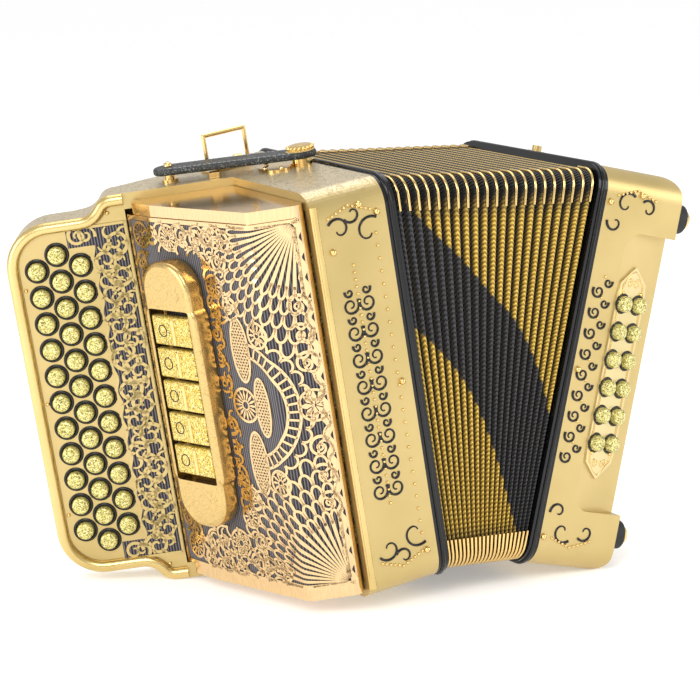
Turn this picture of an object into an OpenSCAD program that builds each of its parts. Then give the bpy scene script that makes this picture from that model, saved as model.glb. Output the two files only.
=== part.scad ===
// Three-row button accordion, standing on its lower edges with the bellows fanned open.
// X runs along the bellows from the treble side to the bass side, the front faces -Y, +Z is up.
// Each half is modelled upright and then leaned outwards, so "leaned" sizes are measured square to the casing.

/* [Casings] */
// Height of both casings, along the lean
case_h = 290; // [260:1:320]
// Depth of both casings, front to back
case_d = 204; // [180:1:230]
// Width of the treble casing band
treble_w = 55; // [48:1:66]
// Width of the bass casing
bass_w = 65; // [56:1:76]
// Wall of both casings
wall = 4; // [3.5:0.5:5]
// Corner radius of the casings, seen along the bellows
corner_r = 18; // [12:1:22]
// Thickness of each black bellows frame
frame_t = 8; // [6:0.5:10]
// Width of the frame round its opening
frame_rim = 13; // [10:1:16]

/* [Bellows] */
// Lean of the treble half away from upright
treble_lean = 7.5; // [5:0.1:10]
// Lean of the bass half away from upright
bass_lean = 14.3; // [8:0.1:16]
// Length of the folded bellows where they are closed, at the bottom
closed_len = 59.7; // [50:0.1:75]
// Number of folds
folds = 21; // [14:1:26]
// Depth of one fold
fold_depth = 10; // [8:1:14]

/* [Fingerboard] */
// Angle of the fingerboard from facing straight to the front
board_turn = 28.7; // [24:0.1:32]
// Distance of the board's outer edge from the casing line
board_reach = 228; // [222:1:236]
// Thickness of the fingerboard box
board_t = 30; // [28:1:34]
// How much lower than the casing the board stops at each end
board_step = 13; // [10:1:16]
// Corner radius of the board
board_r = 33; // [26:1:38]
// Length of the curved shoulder between board and casing
shoulder = 24; // [18:1:30]
// Thickness of the button plate
plate_t = 2; // [1.5:0.1:2.4]

/* [Treble buttons] */
// Spacing of the buttons along a row
key_pitch = 19.6; // [18.6:0.1:20]
// Spacing of the rows
row_gap = 15.9; // [15:0.1:17]
// Distance of the middle row from the casing line
row_mid = 190.8; // [188:0.2:193]
// Buttons in the middle row
mid_count = 12; // [10:1:12]
// Diameter of a button cap
cap_d = 12.3; // [11:0.1:13]
// Diameter of the socket round a button
socket_d = 17; // [15.5:0.1:18]
// Diameter of the axle that carries the levers
axle_d = 3; // [2.5:0.1:4]
// Running clearance of a lever on the axle, each side
axle_fit = 0.06; // [0.03:0.01:0.1]
// Thickness of a lever
lever_t = 3; // [2.4:0.1:3.2]
// Length of a pallet
pallet_l = 24; // [20:1:26]
// Height of a pallet
pallet_h = 14; // [12:1:15]

/* [Grille and registers] */
// Width of the grille's front facet
grille_front = 43.5; // [40:0.5:48]
// Turn of the front facet from facing the front
grille_turn_a = 31.7; // [28:0.1:36]
// Width of the grille's main facet, up to its last bend
grille_main = 105; // [100:0.5:110]
// Turn of the main facet from facing the front
grille_turn_b = 74.8; // [72:0.1:78]
// Sheet thickness of the grille
sheet = 2; // [1.5:0.1:2.5]
// Gap between the grille and the casing's top and bottom
grille_inset = 6; // [4:0.5:9]
// Length of the register housing
reg_len = 194; // [186:1:204]
// Width of the register housing
reg_wide = 50; // [48:1:56]
// Height of the register housing over the grille
reg_high = 16; // [14:1:20]
// Width of one register tablet
tab_w = 40; // [36:1:42]
// Height of one register tablet
tab_h = 21; // [18:0.5:22]
// Spacing of the register tablets
tab_pitch = 23.8; // [23.2:0.1:26]

/* [Bass side] */
// Start of the bass recess from the bellows edge
recess_x = 23.5; // [20:0.5:26]
// Lower end of the recess
recess_lo = 44; // [38:1:50]
// Upper end of the recess
recess_hi = 247; // [238:1:254]
// Depth of the recess at the outer edge
recess_deep = 12; // [8:0.5:14]
// Spacing of the bass buttons along a column
bass_pitch = 20.3; // [19:0.1:21]
// Spacing of the two bass columns
bass_gap = 16.5; // [15.5:0.1:18]
// Diameter of a bass button
bass_cap_d = 11.4; // [10:0.1:12]
// Diameter of a foot
foot_d = 21; // [18:0.5:24]
// Height of a foot
foot_h = 14; // [10:0.5:16]

/* [Straps] */
// Width of the bellows strap
strap_w = 22; // [18:1:24]
// Thickness of the bellows strap
strap_t = 4.5; // [3:0.5:6]
// Height of the bellows strap over the casing
strap_lift = 6; // [5:0.5:8]
// Wire diameter of the shoulder strap ring
ring_wire = 3; // [2.5:0.1:3.5]
// Width of the hand strap
hand_w = 56; // [50:1:64]

/* [Hidden] */
$fn = 48;
eps = 0.01;
gap = 0.3;
keys_side = mid_count - 1;
key_total = mid_count + 2 * keys_side;
function two(n) = n < 10 ? str("0", n) : str(n);
KEY_NODES = [for (k = [1 : key_total]) str("treble_key_", two(k))];

// Placing: the floor is where the leaned halves touch down, and the origin is under the middle
half_d = case_d / 2;
grille_b = [-treble_w - grille_front * cos(grille_turn_a), -half_d + grille_front * sin(grille_turn_a)];
sh_out = board_reach - 58;
sh_in = sh_out - shoulder;
board_o = [-4, -10, 0];
floor_z = (board_o[0] - sh_in * cos(board_turn)) * sin(treble_lean);
outer_r = 12;
bass_shift = [closed_len + frame_t * (cos(treble_lean) + cos(bass_lean)), 0,
    floor_z + (bass_w - outer_r) * sin(bass_lean) + outer_r * (1 - cos(bass_lean))];
origin_shift = [8.51, -9.27, -floor_z + 0.09];
module treble_place() { translate(origin_shift) rotate([0, -treble_lean, 0]) children(); }
module bass_place() { translate(origin_shift + bass_shift) rotate([0, bass_lean, 0]) children(); }

// The fingerboard's own frame: x along the board towards the bellows, y up the casing, z out of its face
module board_place() { translate(board_o) rotate([0, 0, -board_turn]) rotate([90, 0, 0]) children(); }
function board_xy(a, c) = [board_o[0] + a * cos(board_turn) - c * sin(board_turn),
                           board_o[1] - a * sin(board_turn) - c * cos(board_turn)];
// where the board's face line meets the casing's outer line
board_meet = (-treble_w - board_o[0]) / cos(board_turn);

function arc(cx, cy, r, from, to, n = 10) =
    [for (i = [0 : n]) let (t = from + (to - from) * i / n) [cx + r * cos(t), cy + r * sin(t)]];

// Outline of board and casing seen square to the board, pulled in by d
ogee_r = (pow(shoulder / 2, 2) + pow(board_step / 2, 2)) / board_step;
ogee_a = asin(shoulder / 2 / ogee_r);
function board_outline(d) = let (lo = board_step, hi = case_h - board_step, rr = board_r - d) concat(
    arc(-board_reach + board_r, lo + board_r, rr, 180, 270),
    arc(-sh_out, lo - ogee_r, ogee_r + d, 90, 90 - ogee_a),
    arc(-sh_in, ogee_r, ogee_r - d, 270 - ogee_a, 270),
    [[60, d], [60, case_h - d]],
    arc(-sh_in, case_h - ogee_r, ogee_r - d, 90, 90 + ogee_a),
    arc(-sh_out, hi + ogee_r, ogee_r + d, 270 + ogee_a, 270),
    arc(-board_reach + board_r, hi - board_r, rr, 90, 180));

module round_rect(w, h, r) {
    translate([-w / 2 + r, -h / 2]) square([w - 2 * r, h]);
    translate([-w / 2, -h / 2 + r]) square([w, h - 2 * r]);
    for (sx = [-1, 1], sy = [-1, 1]) translate([sx * (w / 2 - r), sy * (h / 2 - r)]) circle(r);
}
// a rounded rectangle lying in Y and Z, drawn out along X
module bar_x(x0, x1, d, h, r, z_mid) {
    translate([x0, 0, z_mid]) rotate([90, 0, 90]) linear_extrude(x1 - x0) round_rect(d, h, r);
}

// Plan of the treble casing with its board box, pulled in by d
plan_back = board_xy(-board_reach, -board_t);
plan_turn = [plan_back[0] + (plan_back[1] - half_d) / tan(board_turn), half_d];
module treble_plan(d) {
    offset(delta = -d) polygon([[0, -half_d], [-treble_w, -half_d], board_xy(board_meet, 0),
        board_xy(-board_reach, 0), plan_back, plan_turn, [0, half_d]]);
}
module treble_block(d) {
    intersection() {
        linear_extrude(case_h) treble_plan(d);
        board_place() translate([0, 0, -250]) linear_extrude(400) polygon(board_outline(d));
        union() {
            bar_x(-260, 10, case_d - 2 * d, case_h - 2 * d, corner_r - d, case_h / 2);
            board_place() translate([-300, 0, -board_t]) cube([300 - sh_in, case_h, board_t]);
        }
    }
}

// Levers: they turn on one axle that runs up the casing
axle_a = -112;
axle_c = -15;
axle_xy = board_xy(axle_a, axle_c);
axle_seat = wall + 5;
lever_x = -treble_w - 10;
lever_h = 4;
sound_x = -50;
sound_t = 5;
sound_lip = 0.3;
pallet_t = 5;
pallet_row = [-70, -38, -6];

// Row, height and lever offset of key k, counted up the left, middle and right rows
function key_row(k) = k < keys_side ? 0 : k < keys_side + mid_count ? 1 : 2;
function key_step(k) = k < keys_side ? k + 0.5 : k < keys_side + mid_count ? k - keys_side : k - keys_side - mid_count + 0.5;
function key_z(k) = case_h / 2 + (key_step(k) - (mid_count - 1) / 2) * key_pitch;
function key_a(k) = -row_mid + (key_row(k) - 1) * row_gap;
function key_off(k) = (key_row(k) - 1) * lever_t;

slot_from = -100;
slot_to = -66;
slot_w = 3;
slot_c = -8;
plate_c = -1;
plate_edge = 8.5;
plate_end = -137.5;

module treble_casing() color("darkkhaki") treble_place() {
    difference() {
        treble_block(0);
        treble_block(wall);
        // opening to the bellows
        bar_x(-wall - 1, 1, case_d - 2 * frame_rim, case_h - 2 * frame_rim, corner_r - 9, case_h / 2);
        // opening under the grille, and the one for the button plate and the levers
        translate([-treble_w - 1, -half_d + 10, 12]) cube([wall + 3, half_d + 2, case_h - 24]);
        board_place() translate([0, 0, -wall - 1]) linear_extrude(wall + 2) intersection() {
            polygon(board_outline(plate_edge + 3));
            translate([-board_reach, 0]) square([board_reach + board_meet - 4, case_h]);
        }
        // seat that lets the button plate in
        board_place() translate([0, 0, plate_c - plate_t]) linear_extrude(plate_t + 5) intersection() {
            polygon(board_outline(plate_edge));
            translate([-board_reach, 0]) square([board_reach + plate_end, case_h]);
        }
        // slot of the mute slider
        board_place() translate([slot_from, case_h - wall - 1, slot_c - slot_w / 2])
            cube([slot_to - slot_from, wall + 2, slot_w]);
    }
    // bosses that carry the key axle
    for (z = [wall, case_h - wall - 5]) translate([axle_xy[0], axle_xy[1], z]) cylinder(d = 10, h = 5);
}

module fingerboard() color("palegoldenrod") treble_place() {
    difference() {
        board_place() translate([0, 0, plate_c - plate_t]) linear_extrude(plate_t) intersection() {
            polygon(board_outline(plate_edge + 0.2));
            translate([-board_reach, 0]) square([board_reach + plate_end, case_h]);
        }
        for (k = [0 : key_total - 1]) board_place() translate([key_a(k), key_z(k), plate_c - plate_t - 1])
            cylinder(d = socket_d, h = plate_t + 2);
    }
    // black bushes that line the sockets
    for (k = [0 : key_total - 1]) color("dimgray") board_place()
        translate([key_a(k), key_z(k), plate_c - plate_t]) difference() {
            cylinder(d = socket_d, h = plate_t);
            translate([0, 0, -1]) cylinder(d = cap_d + 2, h = plate_t + 2);
        }
}

module key_axle() color("silver") treble_place()
    translate([axle_xy[0], axle_xy[1], axle_seat]) cylinder(d = axle_d, h = case_h - 2 * axle_seat);

cap_top = 3;
cap_h = 7;
module treble_key(k) color("khaki") treble_place() {
    a = key_a(k);
    z = key_z(k) + key_off(k);
    bend = (lever_x - board_o[0] + axle_c * sin(board_turn)) / cos(board_turn);
    bend_xy = board_xy(bend, axle_c);
    arm_end = pallet_row[key_row(k)];
    difference() {
        union() {
            board_place() translate([a, key_z(k), cap_top - cap_h]) cylinder(d = cap_d, h = cap_h);
            board_place() translate([a, z, axle_c]) cylinder(d = 4, h = cap_top - cap_h - axle_c + 1);
            board_place() translate([a - 3, z - lever_t / 2, axle_c - lever_h / 2])
                cube([bend - a + 3, lever_t, lever_h]);
            translate([axle_xy[0], axle_xy[1], z - lever_t / 2]) cylinder(d = 9, h = lever_t);
            translate([lever_x - lever_h / 2, arm_end - 4, z - lever_t / 2])
                cube([lever_h, bend_xy[1] - arm_end + 4, lever_t]);
            translate([lever_x - 1, arm_end - 3, z - lever_t / 2])
                cube([sound_x - pallet_t - lever_x + 1.5, 6, lever_t]);
            translate([sound_x - pallet_t, arm_end - pallet_l / 2, z - pallet_h / 2])
                cube([pallet_t - sound_lip, pallet_l, pallet_h]);
        }
        translate([axle_xy[0], axle_xy[1], z - lever_t]) cylinder(d = axle_d + 2 * axle_fit, h = 2 * lever_t);
    }
}

// Plan of the grille with rounded bends, pulled in by d; it closes against the casing and the board
function grille_dir(t) = [-cos(t), sin(t)];
grille_a = [-treble_w - gap, -half_d + 3];
grille_c = grille_b + grille_main * grille_dir(grille_turn_b);
grille_d = board_xy(plate_end + gap, gap);
grille_e = board_xy(board_meet - 1, gap);
module grille_plan(d) {
    offset(r = 6) offset(delta = -6 - d) polygon([grille_a, grille_b, grille_c, grille_d, grille_e]);
}
module grille() color("goldenrod") treble_place() {
    lo = grille_inset;
    hi = case_h - grille_inset;
    difference() {
        translate([0, 0, lo]) linear_extrude(hi - lo) grille_plan(0);
        // hollow, and open towards the casing and the board
        translate([0, 0, lo + sheet]) linear_extrude(hi - lo - 2 * sheet) {
            grille_plan(sheet);
            polygon([[-treble_w - 6, -half_d + 12], [-treble_w + 9, -half_d + 12], board_xy(board_meet, -9),
                     board_xy(plate_end + 6, -9), board_xy(plate_end + 6, 8)]);
        }
    }
}

// The register housing's own frame: x along the main facet towards the front, y up, z out of it
module facet_place() {
    translate([grille_b[0], grille_b[1], 0]) rotate([0, 0, -grille_turn_b]) rotate([90, 0, 0]) children();
}
reg_a = -83;
reg_z = case_h / 2 + 6;
module register_housing() color("tan") treble_place() {
    difference() {
        facet_place() translate([reg_a, reg_z, gap]) linear_extrude(reg_high - gap) round_rect(reg_wide, reg_len, 22);
        facet_place() translate([reg_a, reg_z, 3]) linear_extrude(reg_high)
            round_rect(tab_w + 1.2, 5 * tab_pitch, 2);
        facet_place() translate([reg_a, reg_z, -1]) linear_extrude(6) round_rect(tab_w - 8, 5 * tab_pitch - 8, 2);
    }
    // rod that the five tablets rock on
    facet_place() translate([reg_a, reg_z + 2.5 * tab_pitch, reg_high - 6]) rotate([90, 0, 0])
        cylinder(d = axle_d, h = 5 * tab_pitch);
}
module register_switch(i) color("gold") treble_place() {
    z = reg_z + (2 - i) * tab_pitch;
    difference() {
        union() {
            facet_place() translate([reg_a - tab_w / 2, z - tab_h / 2, reg_high - 4.5]) cube([tab_w, tab_h, 4]);
            facet_place() translate([reg_a, z + tab_h / 2, reg_high - 6]) rotate([90, 0, 0]) cylinder(d = 8, h = tab_h);
        }
        facet_place() translate([reg_a, z + tab_h, reg_high - 6]) rotate([90, 0, 0])
            cylinder(d = axle_d + 2 * axle_fit, h = 2 * tab_h);
    }
}

hole_y = 16;
module treble_soundboard() color("burlywood") treble_place() {
    difference() {
        bar_x(sound_x, sound_x + sound_t, case_d - 2 * wall - 2 * gap, case_h - 2 * wall - 2 * gap, corner_r - wall, case_h / 2);
        for (k = [0 : key_total - 1]) translate([sound_x - 1, pallet_row[key_row(k)] - hole_y / 2, key_z(k) + key_off(k) - 4])
            cube([sound_t + 2, hole_y, 8]);
    }
    // three reed blocks, one behind each row of pallets
    for (r = [0 : 2]) translate([sound_x + sound_t, pallet_row[r] - 11, 22]) difference() {
        cube([34, 22, case_h - 44]);
        for (k = [0 : key_total - 1]) if (key_row(k) == r)
            translate([-1, 11 - hole_y / 2, key_z(k) + key_off(k) - 26]) cube([28, hole_y, 8]);
    }
}

module mute_slider() color("gold") treble_place() board_place() {
    x = slot_to - 5;
    translate([x - 3.5, case_h + gap, slot_c - 3.5]) cube([7, 4, 7]);
    translate([x - 1.5, case_h - wall - 2, slot_c - slot_w / 2 + gap]) cube([3, wall + 3, slot_w - 2 * gap]);
    translate([x - 4, case_h - wall - gap - 2, slot_c - 3.7]) cube([8, 2, 7.4]);
}

// Bellows strap: from the rosette on its bracket to the parking stud, in the treble frame
rose = [-8, 0];
stud = [-86, 56.5];
strap_ang = atan2(stud[1] - rose[1], stud[0] - rose[0]);
strap_len = norm(stud - rose);
strap_z = case_h + strap_lift;
ring_x = [-57, -25];
ring_y = 53;
ring_h = 22;
pin_z = case_h + 4.5;
module strap_fittings() color("gold") treble_place() {
    // parking stud: a waisted button under the strap's end
    translate([stud[0], stud[1], case_h]) cylinder(d = 12, h = 2);
    translate([stud[0], stud[1], case_h + 2 - eps]) cylinder(d = 7, h = strap_lift - 2 - gap + eps);
    // oval base plate and riser of the rosette's bracket
    translate([0, 0, case_h]) linear_extrude(1.8) {
        translate([-26, 3]) circle(9);
        translate([-26, 15]) circle(9);
        translate([-35, 3]) square([18, 12]);
    }
    translate([-30, 3, case_h]) cube([34, 10, 1.8]);
    difference() {
        translate([rose[0], rose[1], case_h]) cylinder(d = 14, h = strap_lift - gap);
        translate([rose[0], rose[1], case_h - 1]) cylinder(d = 4, h = strap_lift + 2);
    }
    translate([rose[0], rose[1], case_h]) cylinder(d = 4, h = strap_lift + strap_t + gap + 1);
    translate([rose[0], rose[1], strap_z + strap_t + gap]) cylinder(d1 = 21, d2 = 14, h = 4);
    // base and knuckles of the shoulder strap ring
    translate([ring_x[0] - 3, ring_y - 7, case_h]) cube([ring_x[1] - ring_x[0] + 6, 14, 1.6]);
    for (x = [ring_x[0] + 5, ring_x[1] - 11]) difference() {
        union() {
            translate([x, ring_y - 4, case_h]) cube([6, 8, pin_z - case_h]);
            translate([x, ring_y, pin_z]) rotate([0, 90, 0]) cylinder(d = 8, h = 6);
        }
        translate([x - 1, ring_y, pin_z]) rotate([0, 90, 0]) cylinder(d = ring_wire + 2 * axle_fit, h = 8);
    }
}
module strap_ring() color("gold") treble_place() {
    w = ring_x[1] - ring_x[0];
    for (z = [pin_z, pin_z + ring_h]) translate([ring_x[0], ring_y, z]) rotate([0, 90, 0]) cylinder(d = ring_wire, h = w);
    for (x = ring_x) {
        translate([x, ring_y, pin_z]) cylinder(d = ring_wire, h = ring_h);
        for (z = [pin_z, pin_z + ring_h]) translate([x, ring_y, z]) sphere(d = ring_wire);
    }
}
module bellows_strap() color("dimgray") treble_place() translate([rose[0], rose[1], strap_z]) rotate([0, 0, strap_ang])
    difference() {
        union() {
            cylinder(d = strap_w, h = strap_t);
            translate([0, -strap_w / 2, 0]) cube([strap_len, strap_w, strap_t]);
            translate([strap_len, 0, 0]) cylinder(d = strap_w, h = strap_t);
        }
        translate([0, 0, -1]) cylinder(d = 4 + 2 * axle_fit, h = strap_t + 2);
    }

module bellows_frame(x0) {
    difference() {
        bar_x(x0, x0 + frame_t, case_d, case_h, corner_r, case_h / 2);
        bar_x(x0 - 1, x0 + frame_t + 1, case_d - 2 * frame_rim, case_h - 2 * frame_rim, corner_r - 9, case_h / 2);
    }
}
module treble_bellows_frame() color("black") treble_place() bellows_frame(0);
module bass_bellows_frame() color("black") bass_place() bellows_frame(-frame_t);

// Section of the bellows in X and Z between the two frames, pulled in by d at top and bottom
function treble_pt(x, z) = [x * cos(treble_lean) - z * sin(treble_lean), x * sin(treble_lean) + z * cos(treble_lean)];
function bass_pt(x, z) = [bass_shift[0] + x * cos(bass_lean) + z * sin(bass_lean),
                          bass_shift[2] - x * sin(bass_lean) + z * cos(bass_lean)];
function fan_pt(t, z) = treble_pt(frame_t + gap, z) * (1 - t) + bass_pt(-frame_t - gap, z) * t;
module fan_plan(d) {
    polygon(concat(
        [for (i = [0 : 2 * folds]) fan_pt(i / (2 * folds), case_h - 2 - d - (i % 2 == 0 ? fold_depth : 0))],
        [for (i = [2 * folds : -1 : 0]) fan_pt(i / (2 * folds), 2 + d + (i % 2 == 0 ? fold_depth : 0))]));
}
module bellows_folds() color("gold") translate(origin_shift) difference() {
    translate([0, half_d - 3, 0]) rotate([90, 0, 0]) linear_extrude(case_d - 6) fan_plan(0);
    translate([0, half_d - 3 - frame_rim, 0]) rotate([90, 0, 0]) linear_extrude(case_d - 6 - 2 * frame_rim)
        polygon([fan_pt(-0.1, case_h - 4 - frame_rim), fan_pt(1.1, case_h - 4 - frame_rim),
                 fan_pt(1.1, 4 + frame_rim), fan_pt(-0.1, 4 + frame_rim)]);
}

// Bass half: the recess is a slanted floor that starts flush and runs out of the outer face
recess_ang = atan2(recess_deep, bass_w - recess_x);
module recess_place() { translate([recess_x, -half_d, 0]) rotate([0, 0, recess_ang]) rotate([90, 0, 0]) children(); }
module recess_cut(d) {
    recess_place() translate([-d, recess_lo - d, -d]) linear_extrude(60)
        translate([bass_w / 2, (recess_hi - recess_lo + 2 * d) / 2]) round_rect(bass_w, recess_hi - recess_lo + 2 * d, 12);
}
module bass_block(d) {
    intersection() {
        bar_x(-1, bass_w - d, case_d - 2 * d, case_h - 2 * d, corner_r - d, case_h / 2);
        translate([0, half_d, 0]) rotate([90, 0, 0]) linear_extrude(case_d) {
            translate([-50, d]) square([50 + bass_w - outer_r, case_h - 2 * d]);
            translate([0, outer_r]) square([bass_w - d, case_h - 2 * outer_r]);
            for (z = [outer_r, case_h - outer_r]) translate([bass_w - outer_r, z]) circle(outer_r - d);
        }
    }
}
bass_n = 6;
bass_s = (31 - recess_x);
bass_mid = 145.3;
function bass_z(i) = bass_mid + (i - (bass_n - 1) / 2) * bass_pitch;
module bass_holes(d) {
    for (c = [0, 1], i = [0 : bass_n - 1]) recess_place()
        translate([bass_s + c * bass_gap, bass_z(i), -wall - 12]) cylinder(d = d, h = wall + 20);
}
strap_stud = [12, 20];
air_at = [-40, 252];
module bass_casing() color("darkkhaki") bass_place() {
    difference() {
        bass_block(0);
        translate([-60, -150, -10]) cube([60, 300, case_h + 20]);
        difference() {
            bass_block(wall);
            recess_cut(wall);
        }
        recess_cut(0);
        bass_holes(bass_cap_d + 1);
        translate([bass_w - wall - 1, air_at[0], air_at[1]]) rotate([0, 90, 0]) cylinder(d = 15, h = wall + 2);
    }
    // stud that takes the bellows strap
    translate([strap_stud[0], strap_stud[1], case_h]) cylinder(d = 12, h = 2);
    translate([strap_stud[0], strap_stud[1], case_h + 2 - eps]) cylinder(d = 7, h = 4);
}
plate_lo = 68;
plate_hi = 223;
plate_mid = bass_s + bass_gap / 2;
module bass_button_plate() color("wheat") bass_place() {
    difference() {
        recess_place() linear_extrude(1.6) polygon([
            [plate_mid - 14, plate_lo + 12], [plate_mid - 5, plate_lo + 4], [plate_mid, plate_lo],
            [plate_mid + 5, plate_lo + 4], [plate_mid + 14, plate_lo + 12], [plate_mid + 15.5, plate_lo + 22],
            [plate_mid + 15.5, plate_hi - 22], [plate_mid + 14, plate_hi - 12], [plate_mid + 5, plate_hi - 4],
            [plate_mid, plate_hi], [plate_mid - 5, plate_hi - 4], [plate_mid - 14, plate_hi - 12],
            [plate_mid - 15.5, plate_hi - 22], [plate_mid - 15.5, plate_lo + 22]]);
        bass_holes(bass_cap_d + 1);
    }
}
// Each column of bass buttons presses against a plate of stems inside the casing
module bass_buttons(c) color("khaki") bass_place() for (i = [0 : bass_n - 1]) recess_place()
    translate([bass_s + c * bass_gap, bass_z(i), 0]) {
        translate([0, 0, -3]) cylinder(d = bass_cap_d, h = 9);
        translate([0, 0, -14]) cylinder(d = 4, h = 12);
    }
module bass_reed_block() color("burlywood") bass_place() {
    bar_x(10, 14, case_d - 2 * wall - 2 * gap, case_h - 2 * wall - 2 * gap, corner_r - wall, case_h / 2);
    for (y = [-45, 15]) translate([-frame_t + 2, y, 40]) cube([18 - eps, 30, case_h - 80]);
}
module bass_feet() color("dimgray") bass_place()
    for (y = [-half_d + 14, half_d - 22], z = [28, case_h - 28]) translate([bass_w, y, z]) rotate([0, 90, 0]) {
        cylinder(d = foot_d, h = foot_h - 4);
        translate([0, 0, foot_h - 4]) cylinder(d1 = foot_d - 6, d2 = 6, h = 4);
    }
hand_lo = 26;
hand_hi = 240;
hand_bow = 26;
module hand_strap() color("dimgray") bass_place() translate([bass_w, -14, 0]) rotate([90, 0, 0]) linear_extrude(hand_w, center = true)
    polygon(concat(
        [for (i = [0 : 16]) let (t = i / 16) [gap + hand_bow * sin(180 * t), hand_lo + (hand_hi - hand_lo) * t]],
        [for (i = [16 : -1 : 0]) let (t = i / 16) [gap + 5 + hand_bow * sin(180 * t), hand_lo + (hand_hi - hand_lo) * t]]));
module air_button() color("khaki") bass_place()
    translate([bass_w - wall - 6, air_at[0], air_at[1]]) rotate([0, 90, 0]) {
        cylinder(d = 14, h = wall + 12);
        cylinder(d = 20, h = 6 - gap);
    }

treble_casing();
fingerboard();
key_axle();
grille();
register_housing();
for (i = [0 : 4]) register_switch(i);
treble_soundboard();
mute_slider();
strap_fittings();
strap_ring();
bellows_strap();
treble_bellows_frame();
bellows_folds();
bass_bellows_frame();
bass_casing();
bass_button_plate();
bass_buttons(0);  // bass_buttons_inner
bass_buttons(1);  // bass_buttons_outer
bass_reed_block();
bass_feet();
hand_strap();
air_button();
for (k = [0 : key_total - 1]) treble_key(k);
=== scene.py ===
import bpy, math, random
from mathutils import Matrix, Vector


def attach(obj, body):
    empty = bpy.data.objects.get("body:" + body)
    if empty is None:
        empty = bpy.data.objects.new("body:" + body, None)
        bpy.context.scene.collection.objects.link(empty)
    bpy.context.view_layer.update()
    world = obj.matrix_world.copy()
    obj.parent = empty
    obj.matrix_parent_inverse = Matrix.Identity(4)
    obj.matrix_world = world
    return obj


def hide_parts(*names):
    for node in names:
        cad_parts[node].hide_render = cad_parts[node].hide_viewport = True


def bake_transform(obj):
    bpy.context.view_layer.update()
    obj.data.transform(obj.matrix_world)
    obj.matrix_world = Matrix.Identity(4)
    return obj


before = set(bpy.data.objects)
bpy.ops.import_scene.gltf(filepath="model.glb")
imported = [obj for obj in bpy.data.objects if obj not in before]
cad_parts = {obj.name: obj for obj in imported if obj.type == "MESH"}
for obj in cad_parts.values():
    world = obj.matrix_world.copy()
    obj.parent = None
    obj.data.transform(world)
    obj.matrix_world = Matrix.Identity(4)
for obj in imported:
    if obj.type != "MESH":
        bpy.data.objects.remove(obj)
bpy.ops.object.select_all(action="DESELECT")
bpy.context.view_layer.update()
random.seed(7)

# The two halves. Both stand on the floor and lean outwards, so every size on them is laid out
# square to the half it is on and then leaned with it.
SHIFT = Vector((8.51, -9.27, 17.327))
BASS_FOOT = Vector((75.38, 0.0, -3.774))
LEAN_T, LEAN_B = math.radians(7.5), math.radians(14.3)
CASE_H, HALF_D, BASS_W = 290.0, 102.0, 65.0


def on_treble(x, y, z):
    c, s = math.cos(LEAN_T), math.sin(LEAN_T)
    return (Vector((x * c - z * s, y, x * s + z * c)) + SHIFT) * 0.001


def on_bass(x, y, z):
    c, s = math.cos(LEAN_B), math.sin(LEAN_B)
    return (Vector((x * c + z * s, y, -x * s + z * c)) + BASS_FOOT + SHIFT) * 0.001


# The camera looks from the front left, slightly above, through a long lens.
CAMERA_ROLL = Matrix.Rotation(math.radians(2.3), 4, "Y")
AZ, EL = math.radians(-27.55), math.radians(10.37)
BACK = Vector((math.sin(AZ) * math.cos(EL), -math.cos(AZ) * math.cos(EL), math.sin(EL)))
bpy.ops.object.camera_add()
camera = bpy.context.object
camera.name = "camera"
camera.data.lens = 135.8
camera.data.sensor_width = 36
aim = (-BACK).to_track_quat("-Z", "Y").to_matrix().to_4x4()
spot = CAMERA_ROLL @ (Vector((-36.76, -32.97, 155.33)) + BACK * 1865.5) + SHIFT
camera.matrix_world = Matrix.Translation(spot * 0.001) @ CAMERA_ROLL @ aim
camera.data.clip_start, camera.data.clip_end = 0.1, 50
bpy.context.scene.camera = camera
bpy.context.scene.view_settings.view_transform = "Standard"

# Soft studio light: a bright room, one large lamp on each side and one overhead.
world = bpy.data.worlds.new("studio")
bpy.context.scene.world = world
world.use_nodes = True
room = world.node_tree.nodes["Background"]
room.inputs["Color"].default_value = (1, 1, 1, 1)
room.inputs["Strength"].default_value = 0.72


def lamp(name, place, aim_at, size, power):
    bpy.ops.object.light_add(type="AREA", location=place)
    light = bpy.context.object
    light.name = name
    light.data.size = size
    light.data.energy = power
    way = Vector(aim_at) - Vector(place)
    light.rotation_euler = way.to_track_quat("-Z", "Y").to_euler()


lamp("key_light", (-1.1, -1.3, 1.3), (0, 0, 0.15), 0.9, 17)
lamp("fill_light", (1.3, -1.1, 0.7), (0, 0, 0.15), 0.8, 7)
lamp("side_light", (-1.6, 0.1, 0.5), (-0.1, 0, 0.15), 0.9, 9)
lamp("top_light", (0.2, 0.5, 1.7), (0, 0, 0.15), 1.4, 12)

# Treble casing: a wooden box covered in gold-lacquered celluloid. Its top is paler and engraved,
# and a rounded lip runs round the fingerboard end, flush with the button plate's seat.


def finish(name, metallic=0.0, rough=0.4, coat=0.0):
    mat = bpy.data.materials.new(name)
    mat.use_nodes = True
    shader = mat.node_tree.nodes["Principled BSDF"]
    shader.inputs["Metallic"].default_value = metallic
    shader.inputs["Roughness"].default_value = rough
    shader.inputs["Coat Weight"].default_value = coat
    shader.inputs["Coat Roughness"].default_value = 0.08
    return mat, mat.node_tree.nodes, mat.node_tree.links, shader


def node(nodes, kind, **values):
    made = nodes.new(kind)
    for key, value in values.items():
        if key in made.inputs:
            made.inputs[key].default_value = value
        else:
            setattr(made, key, value)
    return made


def ramp(nodes, stops):
    made = nodes.new("ShaderNodeValToRGB")
    elements = made.color_ramp.elements
    while len(elements) < len(stops):
        elements.new(0.5)
    for element, (place, colour) in zip(elements, stops):
        element.position = place
        element.color = (*colour, 1)
    return made


def texture(nodes, links, kind, **values):
    """A texture laid out on the piece's own coordinates."""
    place = nodes.new("ShaderNodeTexCoord")
    made = node(nodes, "ShaderNodeTex" + kind, **values)
    links.new(place.outputs["Object"], made.inputs["Vector"])
    return made


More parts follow.
